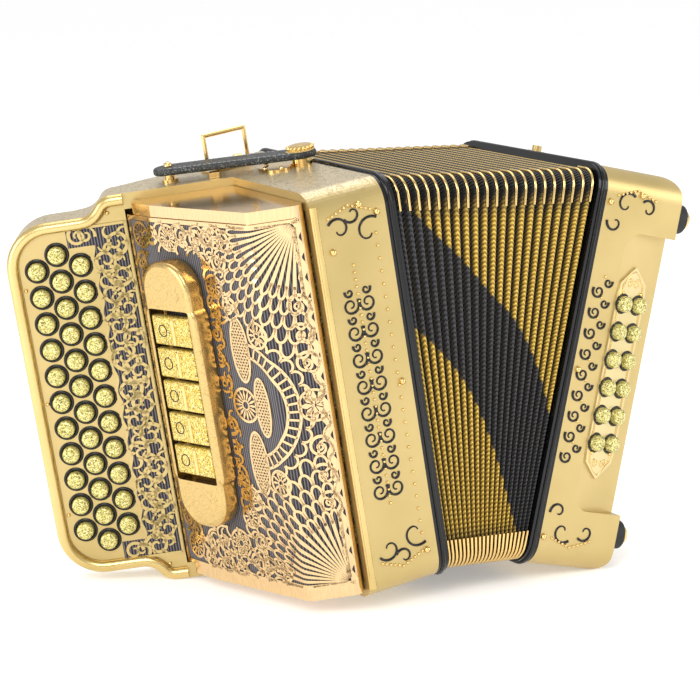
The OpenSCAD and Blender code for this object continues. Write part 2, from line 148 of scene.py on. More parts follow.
def add_bump(nodes, links, shader, height, strength, distance):
    bump = node(nodes, "ShaderNodeBump", Strength=strength, Distance=distance)
    links.new(height, bump.inputs["Height"])
    links.new(bump.outputs["Normal"], shader.inputs["Normal"])
    return bump


# Satin gold lacquer: fine metallic flake in a clear coat, a little uneven in tone.
def satin_gold(name, dark, light, rough, metallic=0.75):
    mat, nodes, links, shader = finish(name, metallic, rough, 0.1)
    cloud = texture(nodes, links, "Noise", Scale=14.0, Detail=3.0)
    flake = texture(nodes, links, "Voronoi", Scale=2600.0)
    tone = ramp(nodes, [(0.3, dark), (0.7, light)])
    links.new(cloud.outputs["Fac"], tone.inputs["Fac"])
    links.new(tone.outputs["Color"], shader.inputs["Base Color"])
    spread = node(nodes, "ShaderNodeMapRange")
    spread.inputs["To Min"].default_value = rough - 0.05
    spread.inputs["To Max"].default_value = rough + 0.08
    links.new(cloud.outputs["Fac"], spread.inputs["Value"])
    links.new(spread.outputs["Result"], shader.inputs["Roughness"])
    add_bump(nodes, links, shader, flake.outputs["Distance"], 0.12, 0.0002)
    return mat


def dress(names, mat):
    for name in names:
        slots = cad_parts[name].data.materials
        if len(slots) == 0:
            slots.append(mat)
        for i in range(len(slots)):
            slots[i] = mat


def pick(name, data):
    """Put new mesh or curve data in the scene as the one selected object."""
    obj = bpy.data.objects.new(name, data)
    bpy.context.collection.objects.link(obj)
    bpy.ops.object.select_all(action="DESELECT")
    obj.select_set(True)
    bpy.context.view_layer.objects.active = obj
    return obj


def face_outwards():
    """Turn the selected piece's faces so that they all point out of it."""
    bpy.ops.object.mode_set(mode="EDIT")
    bpy.ops.mesh.select_all(action="SELECT")
    bpy.ops.mesh.normals_make_consistent(inside=False)
    bpy.ops.object.mode_set(mode="OBJECT")


def tube_piece(name, lines, radius, body, mat, sides=1, taper=None, closed=False):
    curve = bpy.data.curves.new(name, "CURVE")
    curve.dimensions = "3D"
    curve.bevel_depth = radius
    curve.bevel_resolution = sides
    curve.use_fill_caps = True
    for line in lines:
        spline = curve.splines.new("POLY")
        spline.points.add(len(line) - 1)
        spline.use_cyclic_u = closed
        for i, p in enumerate(line):
            spline.points[i].co = (*p, 1)
            if taper:
                spline.points[i].radius = taper(i / (len(line) - 1))
    pick(name, curve)
    bpy.ops.object.convert(target="MESH")
    obj = bpy.context.object
    obj.data.materials.clear()
    obj.data.materials.append(mat)
    bpy.ops.object.shade_smooth()
    obj.select_set(False)
    if body:
        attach(obj, body)
    return obj


TURN = math.radians(28.7)
REACH, STEP_IN, BOARD_R, SHOULDER = 228.0, 13.0, 33.0, 24.0


def on_board(a, z, out):
    x = -4 + a * math.cos(TURN) - out * math.sin(TURN)
    y = -10 - a * math.sin(TURN) - out * math.cos(TURN)
    return on_treble(x, y, z)


def board_edge(d):
    """Outline of the board's end from the lower shoulder round to the upper one, pulled in by d."""
    def arc(cx, cy, r, a0, a1, n=9):
        steps = [math.radians(a0 + (a1 - a0) * i / n) for i in range(n + 1)]
        return [(cx + r * math.cos(t), cy + r * math.sin(t)) for t in steps]
    ogee = ((SHOULDER / 2) ** 2 + (STEP_IN / 2) ** 2) / STEP_IN
    half = math.degrees(math.asin(SHOULDER / 2 / ogee))
    near, far, lo, hi = -146.0, -170.0, STEP_IN, CASE_H - STEP_IN
    low = [(-137.5, d)] + arc(near, ogee, ogee - d, 270, 270 - half)
    low += arc(far, lo - ogee, ogee + d, 90 - half, 90)
    low += arc(-REACH + BOARD_R, lo + BOARD_R, BOARD_R - d, 270, 180)
    return low + [(a, CASE_H - z) for a, z in reversed(low)]


casing_mat, nodes, links, shader = finish("treble_casing_gold", 0.72, 0.36, 0.1)
place = nodes.new("ShaderNodeTexCoord")
upward = node(nodes, "ShaderNodeVectorMath", operation="DOT_PRODUCT")
upward.inputs[1].default_value = (-math.sin(LEAN_T), 0, math.cos(LEAN_T))
links.new(place.outputs["Normal"], upward.inputs[0])
on_top = node(nodes, "ShaderNodeMapRange")
on_top.inputs["From Min"].default_value = 0.6
on_top.inputs["From Max"].default_value = 0.95
links.new(upward.outputs["Value"], on_top.inputs["Value"])
cloud = texture(nodes, links, "Noise", Scale=14.0, Detail=3.0)
gold = ramp(nodes, [(0.3, (0.52, 0.39, 0.15)), (0.7, (0.62, 0.47, 0.20))])
links.new(cloud.outputs["Fac"], gold.inputs["Fac"])
vines = node(nodes, "ShaderNodeTexVoronoi", Scale=9.0, feature="DISTANCE_TO_EDGE")
wander = texture(nodes, links, "Noise", Scale=55.0, Detail=1.0)
links.new(wander.outputs["Color"], vines.inputs["Vector"])
engraving = ramp(nodes, [(0.02, (0.34, 0.26, 0.14)), (0.07, (0.60, 0.50, 0.32))])
links.new(vines.outputs["Distance"], engraving.inputs["Fac"])
both = node(nodes, "ShaderNodeMix", data_type="RGBA")
links.new(on_top.outputs["Result"], both.inputs[0])
links.new(gold.outputs["Color"], both.inputs[6])
links.new(engraving.outputs["Color"], both.inputs[7])
links.new(both.outputs[2], shader.inputs["Base Color"])
flake = texture(nodes, links, "Voronoi", Scale=2600.0)
add_bump(nodes, links, shader, flake.outputs["Distance"], 0.1, 0.0002)
dress(["treble_casing"], casing_mat)

LIP_GOLD = satin_gold("lip_gold", (0.62, 0.46, 0.17), (0.74, 0.56, 0.24), 0.24, 0.9)
LIP_R = 4.3
lip_line = [on_board(a, z, -0.6) for a, z in board_edge(LIP_R)]
tube_piece("board_lip", [lip_line], LIP_R * 0.001, "treble", LIP_GOLD, sides=4)
front_edge = [on_treble(-55 + 2.2, -HALF_D + 2.2, z) for z in range(9, 283, 8)]
tube_piece("casing_edge", [front_edge], 0.0030, "treble", LIP_GOLD, sides=3)
BLACK_GLOSS, nodes, links, shader = finish("black_gloss", 0.0, 0.22, 0.25)
shader.inputs["Base Color"].default_value = (0.004, 0.004, 0.005, 1)
shader.inputs["Specular IOR Level"].default_value = 0.3
cloud = texture(nodes, links, "Noise", Scale=60.0, Detail=4.0)
add_bump(nodes, links, shader, cloud.outputs["Fac"], 0.03, 0.0005)
dress(["treble_bellows_frame", "bass_bellows_frame"], BLACK_GLOSS)


def frame_bead(name, place, x, body):
    """A slim raised bead along the middle of a bellows frame, which catches the light."""
    line = []
    corner, lo, hi = 18.0, -HALF_D, HALF_D
    for cy, cz, a0 in ((hi - corner, CASE_H - corner, 0), (lo + corner, CASE_H - corner, 90),
                       (lo + corner, corner, 180), (hi - corner, corner, 270)):
        for i in range(7):
            t = math.radians(a0 + 15 * i)
            line.append(place(x, cy + (corner + 0.1) * math.cos(t), cz + (corner + 0.1) * math.sin(t)))
    tube_piece(name, [line], 0.0016, body, BLACK_GLOSS, sides=3, closed=True)


frame_bead("treble_frame_bead", on_treble, 4.0, "treble")
frame_bead("bass_frame_bead", on_bass, -4.0, "bass")

# Fingerboard: a satin gold aluminium plate with a row of screws at its edge. Each button comes
# up through a black socket, and the plate's inner strip is cut through over dark cloth.


# Polished metal: a mirror with faint buffing lines and a slightly cloudy gloss.
def polished(name, colour, rough=0.13, lines=(300.0, 300.0, 20.0)):
    mat, nodes, links, shader = finish(name, 1.0, rough)
    place = nodes.new("ShaderNodeTexCoord")
    stretch = nodes.new("ShaderNodeMapping")
    stretch.inputs["Scale"].default_value = lines
    grain = node(nodes, "ShaderNodeTexNoise", Scale=3.0, Detail=4.0)
    links.new(place.outputs["Object"], stretch.inputs["Vector"])
    links.new(stretch.outputs["Vector"], grain.inputs["Vector"])
    tone = ramp(nodes, [(0.25, tuple(v * 0.82 for v in colour)), (0.75, colour)])
    links.new(grain.outputs["Fac"], tone.inputs["Fac"])
    links.new(tone.outputs["Color"], shader.inputs["Base Color"])
    spread = node(nodes, "ShaderNodeMapRange")
    spread.inputs["To Min"].default_value = rough * 0.7
    spread.inputs["To Max"].default_value = rough * 1.6
    links.new(grain.outputs["Fac"], spread.inputs["Value"])
    links.new(spread.outputs["Result"], shader.inputs["Roughness"])
    add_bump(nodes, links, shader, grain.outputs["Fac"], 0.05, 0.0003)
    return mat


def mesh_piece(name, verts, faces, body, mat, smooth=30):
    data = bpy.data.meshes.new(name)
    data.from_pydata(verts, [], faces)
    data.update()
    data.materials.append(mat)
    obj = pick(name, data)
    bpy.ops.object.mode_set(mode="EDIT")
    bpy.ops.mesh.select_all(action="SELECT")
    bpy.ops.mesh.remove_doubles(threshold=0.00001)
    bpy.ops.object.mode_set(mode="OBJECT")
    face_outwards()
    bpy.ops.object.shade_smooth_by_angle(angle=math.radians(smooth))
    obj.select_set(False)
    if body:
        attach(obj, body)
    return obj


def beads(name, spots, radius, body, mat):
    bpy.ops.mesh.primitive_ico_sphere_add(subdivisions=1, radius=radius)
    one = bpy.context.object
    verts, faces = [], []
    for spot in spots:
        start = len(verts)
        verts += [v.co + spot for v in one.data.vertices]
        faces += [[start + i for i in p.vertices] for p in one.data.polygons]
    bpy.data.objects.remove(one)
    return mesh_piece(name, verts, faces, body, mat, 60)


TRIM_GOLD = polished("trim_gold", (0.90, 0.64, 0.26), 0.16)
PLATE_GOLD = satin_gold("plate_gold", (0.52, 0.39, 0.15), (0.62, 0.47, 0.20), 0.34, 0.8)
dress(["fingerboard"], PLATE_GOLD)
PITCH, ROW_GAP, ROW_MID = 19.6, 15.9, 190.8
button_spots = []
for k in range(34):
    row = 0 if k < 11 else 1 if k < 23 else 2
    step = (k + 0.5, k - 11, k - 23 + 0.5)[row]
    button_spots.append((-ROW_MID + (row - 1) * ROW_GAP, 145 + (step - 5.5) * PITCH))
bpy.ops.mesh.primitive_torus_add(major_radius=0.0078, minor_radius=0.0012, major_segments=28,
                                 minor_segments=8)
ring = bpy.context.object
verts, faces = [], []
for a, z in button_spots:
    start = len(verts)
    middle = on_board(a, z, 0)
    side = (on_board(a + 1, z, 0) - middle).normalized()
    rise = (on_board(a, z + 1, 0) - middle).normalized()
    out = (on_board(a, z, 1) - middle).normalized()
    verts += [on_board(a, z, -0.7) + side * v.co.x + rise * v.co.y + out * v.co.z * 0.8
              for v in ring.data.vertices]
    faces += [[start + i for i in p.vertices] for p in ring.data.polygons]
bpy.data.objects.remove(ring)
mesh_piece("button_sockets", verts, faces, "treble", BLACK_GLOSS, 60)
screw_spots = [on_board(a, z, -0.6) for a, z in
               ((-217, 60), (-217, 145), (-217, 230), (-178, 20.5), (-178, 269.5), (-150, 12.5),
                (-150, 277.5))]
beads("plate_screws", screw_spots, 0.0016, "treble", TRIM_GOLD)

# Treble buttons: a turned celluloid cap with a crowned top and a rounded edge, glued to each lever.


def crown(part, rim, rim_rise, top, top_rise):
    """Inset a turned cap's flat top twice, so that it rises to a low crown."""
    bpy.ops.object.mode_set(mode="EDIT")
    bpy.ops.mesh.select_mode(type="FACE")
    bpy.ops.mesh.select_all(action="DESELECT")
    bpy.ops.object.mode_set(mode="OBJECT")
    for face in part.data.polygons:
        face.select = face.normal.z > 0.9
    bpy.ops.object.mode_set(mode="EDIT")
    bpy.ops.mesh.inset(thickness=rim, depth=rim_rise)
    if top:
        bpy.ops.mesh.inset(thickness=top, depth=top_rise)
    bpy.ops.object.mode_set(mode="OBJECT")


def seat(place, a, z, out, lift):
    """From a turned piece in metres at the origin to its place on a panel, lift mm proud of it."""
    middle = place(a, z, out)
    turn = Matrix((place(a + 1, z, out) - middle, place(a, z + 1, out) - middle,
                   place(a, z, out + 1) - middle)).transposed() * 1000
    return Matrix.Translation(place(a, z, out + lift)) @ turn.to_4x4()


def glitter(name, dark, light):
    mat, nodes, links, shader = finish(name, 0.4, 0.3, 0.35)
    flake = texture(nodes, links, "Voronoi", Scale=1500.0)
    split = nodes.new("ShaderNodeSeparateColor")
    links.new(flake.outputs["Color"], split.inputs["Color"])
    tone = ramp(nodes, [(0.0, (0.05, 0.05, 0.01)), (0.22, dark), (0.6, light), (1.0, (0.95, 0.86, 0.42))])
    links.new(split.outputs["Red"], tone.inputs["Fac"])
    links.new(tone.outputs["Color"], shader.inputs["Base Color"])
    add_bump(nodes, links, shader, split.outputs["Green"], 0.5, 0.0003)
    return mat


CAP_GLITTER = glitter("cap_glitter", (0.36, 0.30, 0.05), (0.66, 0.58, 0.17))
for i, (a, z) in enumerate(button_spots):
    bpy.ops.mesh.primitive_cylinder_add(vertices=28, radius=0.00620, depth=0.0060, end_fill_type="NGON")
    cap = bpy.context.object
    cap.name = "button_cap_%02d" % (i + 1)
    crown(cap, 0.0009, 0.0009, 0.0022, 0.0005)
    bpy.ops.object.shade_smooth_by_angle(angle=math.radians(50))
    cap.data.transform(seat(on_board, a, z, 0, 0.4))
    cap.data.materials.append(CAP_GLITTER)
    cap.select_set(False)
    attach(cap, "key_%02d" % (i + 1))
dress(["treble_key_%02d" % k for k in range(1, 35)], CAP_GLITTER)

# Grille: polished rose-gold sheet, bent along three lines, cut through in fans, scales, rosettes,
# lattice and scrolls, with a dark pinstriped cloth behind the cut-outs.
BEND_B = (-92.01, -79.14)
MAIN_T, FRONT_T, FAR_T = math.radians(74.8), math.radians(28.4), math.radians(81.5)
FILLET = 6.0
TANGENT = FILLET * math.tan((MAIN_T - FRONT_T) / 2)


def on_grille(s, z, out):
    """s runs along the sheet: 0 at the front bend, negative on the main facet, positive in front."""
    def at(x, y, turn, h):
        return on_treble(x - h * math.sin(turn), y - h * math.cos(turn), z)
    bx, by = BEND_B
    if s > TANGENT:
        return at(bx + s * math.cos(FRONT_T), by - s * math.sin(FRONT_T), FRONT_T, out)
    if s > -TANGENT:
        ox = bx - TANGENT * math.cos(MAIN_T) + FILLET * math.sin(MAIN_T)
        oy = by + TANGENT * math.sin(MAIN_T) + FILLET * math.cos(MAIN_T)
        turn = MAIN_T + (FRONT_T - MAIN_T) * (s + TANGENT) / (2 * TANGENT)
        return at(ox, oy, turn, FILLET + out)
    if s > -105:
        return at(bx + s * math.cos(MAIN_T), by - s * math.sin(MAIN_T), MAIN_T, out)
    cx, cy = bx - 105 * math.cos(MAIN_T), by + 105 * math.sin(MAIN_T)
    return at(cx + (s + 105) * math.cos(FAR_T), cy - (s + 105) * math.sin(FAR_T), FAR_T, out)


ROSE_GOLD = polished("rose_gold", (0.84, 0.60, 0.32))
dress(["grille"], ROSE_GOLD)

cloth_mat, nodes, links, shader = finish("pinstripe_cloth", 0.0, 0.85)
shader.inputs["Sheen Weight"].default_value = 0.3
uv = node(nodes, "ShaderNodeUVMap", uv_map="UVMap")
stripe = node(nodes, "ShaderNodeTexWave", Scale=150.0, Distortion=0.0, bands_direction="X")
weft = node(nodes, "ShaderNodeTexWave", Scale=420.0, Distortion=0.3, bands_direction="Y")
links.new(uv.outputs["UV"], stripe.inputs["Vector"])
links.new(uv.outputs["UV"], weft.inputs["Vector"])
tone = ramp(nodes, [(0.55, (0.010, 0.010, 0.016)), (0.80, (0.16, 0.14, 0.15))])
links.new(stripe.outputs["Fac"], tone.inputs["Fac"])
links.new(tone.outputs["Color"], shader.inputs["Base Color"])
add_bump(nodes, links, shader, weft.outputs["Fac"], 0.5, 0.0004)


def cloth_panel(name, place, s0, s1, z0, z1, out, n=40):
    verts, faces, uvs = [], [], []
    for i in range(n + 1):
        s = s0 + (s1 - s0) * i / n
        for z in (z0, z1):
            verts += [place(s, z, out), place(s, z, out - 0.5)]
            uvs += [(s * 0.001, z * 0.001)] * 2
    for i in range(n):
        b = i * 4
        faces += [(b, b + 4, b + 6, b + 2), (b + 1, b + 3, b + 7, b + 5), (b, b + 1, b + 5, b + 4),
                  (b + 2, b + 6, b + 7, b + 3)]
    faces += [(0, 2, 3, 1), (n * 4, n * 4 + 1, n * 4 + 3, n * 4 + 2)]
    data = bpy.data.meshes.new(name)
    data.from_pydata(verts, [], faces)
    layer = data.uv_layers.new(name="UVMap")
    for loop in data.loops:
        layer.data[loop.index].uv = uvs[loop.vertex_index]
    obj = bpy.data.objects.new(name, data)
    bpy.context.collection.objects.link(obj)
    data.materials.append(cloth_mat)
    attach(obj, "treble")
    return obj


cloth_panel("grille_cloth", on_grille, -134, 34, 15, 275, 0.35, 80)
cloth_panel("board_cloth", on_board, -165, -139, 20, 270, -0.72, 8)
cloth_panel("board_cloth_top", on_board, -182, -165, 256, 270, -0.72, 4)
cloth_panel("board_cloth_foot", on_board, -182, -165, 20, 34, -0.72, 4)


# The cut-out sheet itself: flat bars between the openings, standing just proud of the cloth.
def cut_bars(name, place, lines, out, thick, mat):
    verts, faces = [], []
    for line, w0, w1 in lines:
        start = len(verts)
        n = len(line)
        for i, (s, z) in enumerate(line):
            s0, z0 = line[max(i - 1, 0)]
            s1, z1 = line[min(i + 1, n - 1)]
            size = math.hypot(s1 - s0, z1 - z0) or 1
            t = i / (n - 1)
            w = (w0 + (w1 - w0) * t) / 2
            ds, dz = -(z1 - z0) / size * w, (s1 - s0) / size * w
            verts += [place(s + ds, z + dz, out), place(s - ds, z - dz, out),
                      place(s - ds, z - dz, out - thick), place(s + ds, z + dz, out - thick)]
        for i in range(n - 1):
            b = start + i * 4
            for j in range(4):
                faces.append((b + j, b + (j + 1) % 4, b + 4 + (j + 1) % 4, b + 4 + j))
        faces += [(start + 3, start + 2, start + 1, start),
                  tuple(start + (n - 1) * 4 + j for j in range(4))]
    data = bpy.data.meshes.new(name)
    data.from_pydata(verts, [], faces)
    data.materials.append(mat)
    obj = pick(name, data)
    face_outwards()
    obj.select_set(False)
    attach(obj, "treble")
    return obj


def spiral(cx, cy, r0, r1, start, turns, n=22):
    out = []
    for i in range(n + 1):
        t = i / n
        r = r0 + (r1 - r0) * t
        ang = start + turns * 2 * math.pi * t
        out.append((cx + r * math.cos(ang), cy + r * math.sin(ang)))
    return out


def circle_line(cx, cy, r, n=18):
    return [(cx + r * math.cos(2 * math.pi * i / n), cy + r * math.sin(2 * math.pi * i / n))
            for i in range(n + 1)]


def straight(p, q, n=14):
    return [(p[0] + (q[0] - p[0]) * i / n, p[1] + (q[1] - p[1]) * i / n) for i in range(n + 1)]


def bow(cx, cz, r, a0, a1, n=12):
    steps = [math.radians(a0 + (a1 - a0) * i / n) for i in range(n + 1)]
    return [(cx + r * math.cos(t), cz + r * math.sin(t)) for t in steps]


def clipped(line, inside):
    """The runs of a line that lie where inside(s, z) holds."""
    runs, run = [], []
    for s, z in line:
        if inside(s, z):
            run.append((s, z))
        else:
            if len(run) > 2:
                runs.append(run)
            run = []
    if len(run) > 2:
        runs.append(run)
    return runs


def in_panel(s, z):
    housing = -110 < s < -56 and 52 < z < 250
    return -134 < s < 34 and 15 < z < 275 and not housing


bars = []


def add_bar(line, w0, w1=None, inside=in_panel):
    for run in clipped(line, inside):
        bars.append((run, w0, w1 if w1 is not None else w0))


# fans out of the two right-hand corners: plain rays first, then rows of scalloped windows
for cs, cz, a0, a1 in ((31, 273, 180, 268), (31, 17, 92, 180)):
    rays = 14
    for i in range(rays):
        t = math.radians(a0 + (a1 - a0) * i / (rays - 1))
        add_bar(straight((cs + 3 * math.cos(t), cz + 3 * math.sin(t)),
                         (cs + 46 * math.cos(t), cz + 46 * math.sin(t)), 14), 0.9, 2.8)
    for row in range(9):
        r, shift = 44 + row * 10, 0.5 * (row % 2)
        for i in range(-1, rays):
            b0 = a0 + (a1 - a0) * (i + shift) / (rays - 1)
            b1 = a0 + (a1 - a0) * (i + 1 + shift) / (rays - 1)
            mid, half = math.radians((b0 + b1) / 2), math.radians(b1 - b0) / 2
            arch = []
            for j in range(11):
                u = -1 + 2 * j / 10
                reach = r + 9.5 * math.sqrt(max(0.0, 1 - u * u))
                arch.append((cs + reach * math.cos(mid + u * half), cz + reach * math.sin(mid + u * half)))
            far_enough = math.hypot(arch[5][0] + 31, arch[5][1] - 146) > 55
            if far_enough and (arch[5][1] - 145) * (cz - 145) > 0:
                add_bar(arch, 1.9)
# a ladder of two arcs round the middle rosette, and scalloped windows outside it
for r in (37, 46):
    add_bar(bow(-31, 146, r, -78, 78, 50), 2.0)
for deg in range(-76, 78, 8):
    t = math.radians(deg)
    add_bar(straight((-31 + 37 * math.cos(t), 146 + 37 * math.sin(t)),
                     (-31 + 46 * math.cos(t), 146 + 46 * math.sin(t)), 4), 1.6)
for deg in range(-60, 61, 12):
    t = math.radians(deg)
    add_bar(bow(-31 + 50 * math.cos(t), 146 + 50 * math.sin(t), 5.0, deg - 95, deg + 95, 10), 1.8)


def leaf(cs, cz, r0, r1, deg, width):
    """A solid pointed leaf on a radius, made of two halves of a bar that swells and closes."""
    t, mid = math.radians(deg), (r0 + r1) / 2
    at = [(cs + r * math.cos(t), cz + r * math.sin(t)) for r in (r0, (r0 + mid) / 2, mid)]
    to = [(cs + r * math.cos(t), cz + r * math.sin(t)) for r in (mid, (r1 + mid) / 2, r1)]
    add_bar(at, 0.3, width)
    add_bar(to, width, 0.3)


# rosettes and wheels, with spokes or leaves
for cs, cz, r, spokes in ((-33, 146, 12, 16), (-9, 198, 9, 10), (-9, 92, 9, 10), (-46, 230, 8, 10),
                          (-48, 62, 8, 10),
                          (-120, 262, 9, 12), (-88, 262, 9, 14), (-64, 40, 10, 14), (-118, 30, 9, 12)):
    add_bar(circle_line(cs, cz, r, 30), 1.9)
    add_bar(circle_line(cs, cz, r * 0.28, 12), 1.3)
    for i in range(spokes):
        leaf(cs, cz, r * 0.25, r, 360 * i / spokes, 1.9)
add_bar(circle_line(25, 146, 11, 30), 1.8)
for i in range(8):
    leaf(25, 146, 1.0, 11, 45 * i, 4.0)
# pointed lattice panels round the middle rosette
for ls, lz, half_w, half_h in ((-29, 186, 8, 22), (-15, 146, 6.5, 20), (-28, 104, 8, 22)):
    def in_lattice(s, z, ls=ls, lz=lz, half_w=half_w, half_h=half_h):
        return ((s - ls) / half_w) ** 2 + ((z - lz) / half_h) ** 2 < 1
    for i in range(-14, 15):
        add_bar([(ls + i * 2.9 + t * 0.8, lz + t * 1.2) for t in range(-20, 21)], 1.1, inside=in_lattice)
        add_bar([(ls + i * 2.9 + t * 0.8, lz - t * 1.2) for t in range(-20, 21)], 1.1, inside=in_lattice)
    add_bar([(ls + half_w * 1.08 * math.cos(math.radians(d)), lz
              + half_h * 1.04 * math.sin(math.radians(d)))
             for d in range(0, 361, 10)], 1.9)
# curls along the wavy right-hand border
for z, hand in ((216, 1), (196, -1), (176, 1), (116, 1), (96, -1), (76, 1)):
    add_bar([(24 + hand * (s - 24), y) for s, y in spiral(24, z, 8.5, 2.0, 0.6, 1.2)], 2.4, 1.4)
    add_bar(circle_line(24, z, 2.0, 10), 1.5)
# scrolls with leaf tips over the rest of the sheet
scrolls = [(-123, z, 1) for z in range(50, 250, 16)] + [(-115, z, -1) for z in range(42, 250, 16)]
scrolls += [(-106, 264, 1), (-72, 265, -1), (-58, 262, 1), (-44, 264, 1), (-30, 262, -1), (-100, 36, 1)]
scrolls += [(-82, 38, -1), (-50, 28, 1), (-36, 26, 1), (-100, 22, 1), (-84, 22, -1), (-68, 22, 1),
            (-20, 26, 1)]
scrolls += [(-52, 212, 1), (-52, 196, -1), (-52, 178, 1), (-52, 160, -1), (-52, 130, 1), (-52, 112, -1)]
scrolls += [(-52, 94, 1), (-50, 80, -1), (-56, 248, 1), (-38, 248, -1), (-40, 76, 1), (-40, 44, -1),
            (-34, 216, 1)]
for i, (cs, cz, hand) in enumerate(scrolls):
    add_bar([(cs + hand * (s - cs), z) for s, z in spiral(cs, cz, 8.2, 1.8, i * 1.1, 1.35)], 3.0, 1.4)
    for j in range(3):
        t = i * 1.1 + 2.1 * j
        add_bar(bow(cs + hand * 7.4 * math.cos(t), cz + 7.4 * math.sin(t), 3.4, math.degrees(t),
                    math.degrees(t) + 190, 8), 1.0, 2.8)
    add_bar(circle_line(cs, cz, 2.0, 10), 1.5)
# the uncut border, with a wavy inner edge
border = []
for i in range(131):
    border.append((31.4 + 1.6 * math.sin(i * 0.9), 15 + 2 * i))
bars.append((border, 4.6, 4.6))
for z in (16.0, 274.0):
    bars.append((straight((-134, z), (33.6, z), 90), 3.0, 3.0))
bars.append((straight((-133, 15), (-133, 275), 50), 2.4, 2.4))
cut_bars("grille_filigree", on_grille, bars, 1.35, 0.9, ROSE_GOLD)

# The same work along the fingerboard's inner strip, in satin gold.
bars = []


def in_strip(a, z):
    beside = -165.0 < a < -138.5 and 21 < z < 269
    return beside or (-182 < a < -150 and (z > 256 or z < 34) and 21 < z < 269)


for i, z in enumerate((26, 264, 26, 264)):
    a = -174 + (6 if i > 1 else 0)
    add_bar(spiral(a, z, 7.0, 1.6, i * 2.0, 1.3), 2.6, 1.2, in_strip)
for i, z in enumerate(range(28, 268, 12)):
    hand = 1 if i % 2 else -1
    middle = -152 + hand * 4.5
    add_bar([(middle + hand * (a - middle), y) for a, y in spiral(middle, z, 9.5, 1.5, i * 0.9, 1.4)],
            3.0, 1.5, in_strip)
    for j in range(5):
        t = i * 0.9 + 1.25 * j
        add_bar(bow(middle + 9 * math.cos(t), z + 9 * math.sin(t), 4.2, math.degrees(t), math.degrees(t)
                    + 170, 8),
                1.0, 3.0, in_strip)
wave = [(-165.0 + 1.2 * math.sin(i * 0.64), 34 + 2 * i) for i in range(112)]
bars.append((wave, 2.4, 2.4))
bars.append((straight((-138.9, 20), (-138.9, 270), 40), 1.8, 1.8))
for z in (20.5, 269.5):
    bars.append((straight((-182, z), (-138.9, z), 12), 1.8, 1.8))
cut_bars("board_filigree", on_board, bars, 0.0, 0.6, PLATE_GOLD)

# Register housing: a cast gold stadium with soft edges, screwed to the grille over the tablets.
REG_S, REG_Z, REG_L, REG_W, REG_H = -83.0, 151.0, 194.0, 50.0, 16.0
TAB_PITCH = 23.8


def housing_ring(w, h, r, n=10):
    out = []
    for cx, cy, a0 in ((w / 2 - r, h / 2 - r, 0), (-w / 2 + r, h / 2 - r, 90),
                       (-w / 2 + r, -h / 2 + r, 180), (w / 2 - r, -h / 2 + r, 270)):
        for i in range(n + 1):
            t = math.radians(a0 + 90 * i / n)
            out.append((cx + r * math.cos(t), cy + r * math.sin(t)))
    return out


curve = bpy.data.curves.new("register_body", "CURVE")
curve.dimensions = "2D"
curve.fill_mode = "BOTH"
curve.bevel_depth = 3.2
curve.bevel_resolution = 3
curve.extrude = (REG_H - 0.6) / 2 - 3.2
for w, h, r, shrink in ((REG_W, REG_L, 22, 3.2), (41.4, 119.4, 2.5, -3.4)):
    spline = curve.splines.new("POLY")
    line = housing_ring(w - 2 * shrink, h - 2 * shrink, r - shrink if shrink > 0 else 5.4)
    spline.points.add(len(line) - 1)
    for point, (x, y) in zip(spline.points, line):
        point.co = (x, y, 0, 1)
    spline.use_cyclic_u = True
pick("register_body", curve)
bpy.ops.object.convert(target="MESH")
body = bpy.context.object


def facet_matrix(s, z, out):
    """From a flat piece laid out in millimetres to its place on the main facet."""
    o = on_grille(s, z, out)
    x = on_grille(s + 1, z, out) - o
    y = on_grille(s, z + 1, out) - o
    n = on_grille(s, z, out + 1) - o
    return Matrix.Translation(o) @ Matrix((x, y, n)).transposed().to_4x4()


body.data.transform(facet_matrix(REG_S, REG_Z, 0.6 + (REG_H - 0.6) / 2))
housing_mat, nodes, links, shader = finish("register_satin", 0.95, 0.26)
wander = texture(nodes, links, "Noise", Scale=60.0, Detail=1.0)
leaves = node(nodes, "ShaderNodeTexVoronoi", Scale=9.0, feature="DISTANCE_TO_EDGE")
links.new(wander.outputs["Color"], leaves.inputs["Vector"])
engraving = ramp(nodes, [(0.02, (0.52, 0.36, 0.13)), (0.05, (0.66, 0.46, 0.18))])
links.new(leaves.outputs["Distance"], engraving.inputs["Fac"])
links.new(engraving.outputs["Color"], shader.inputs["Base Color"])
add_bump(nodes, links, shader, engraving.outputs["Color"], 0.2, 0.0004)
body.data.materials.clear()
body.data.materials.append(housing_mat)
bpy.ops.object.shade_smooth_by_angle(angle=math.radians(40))
body.select_set(False)
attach(body, "treble")
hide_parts("register_housing")

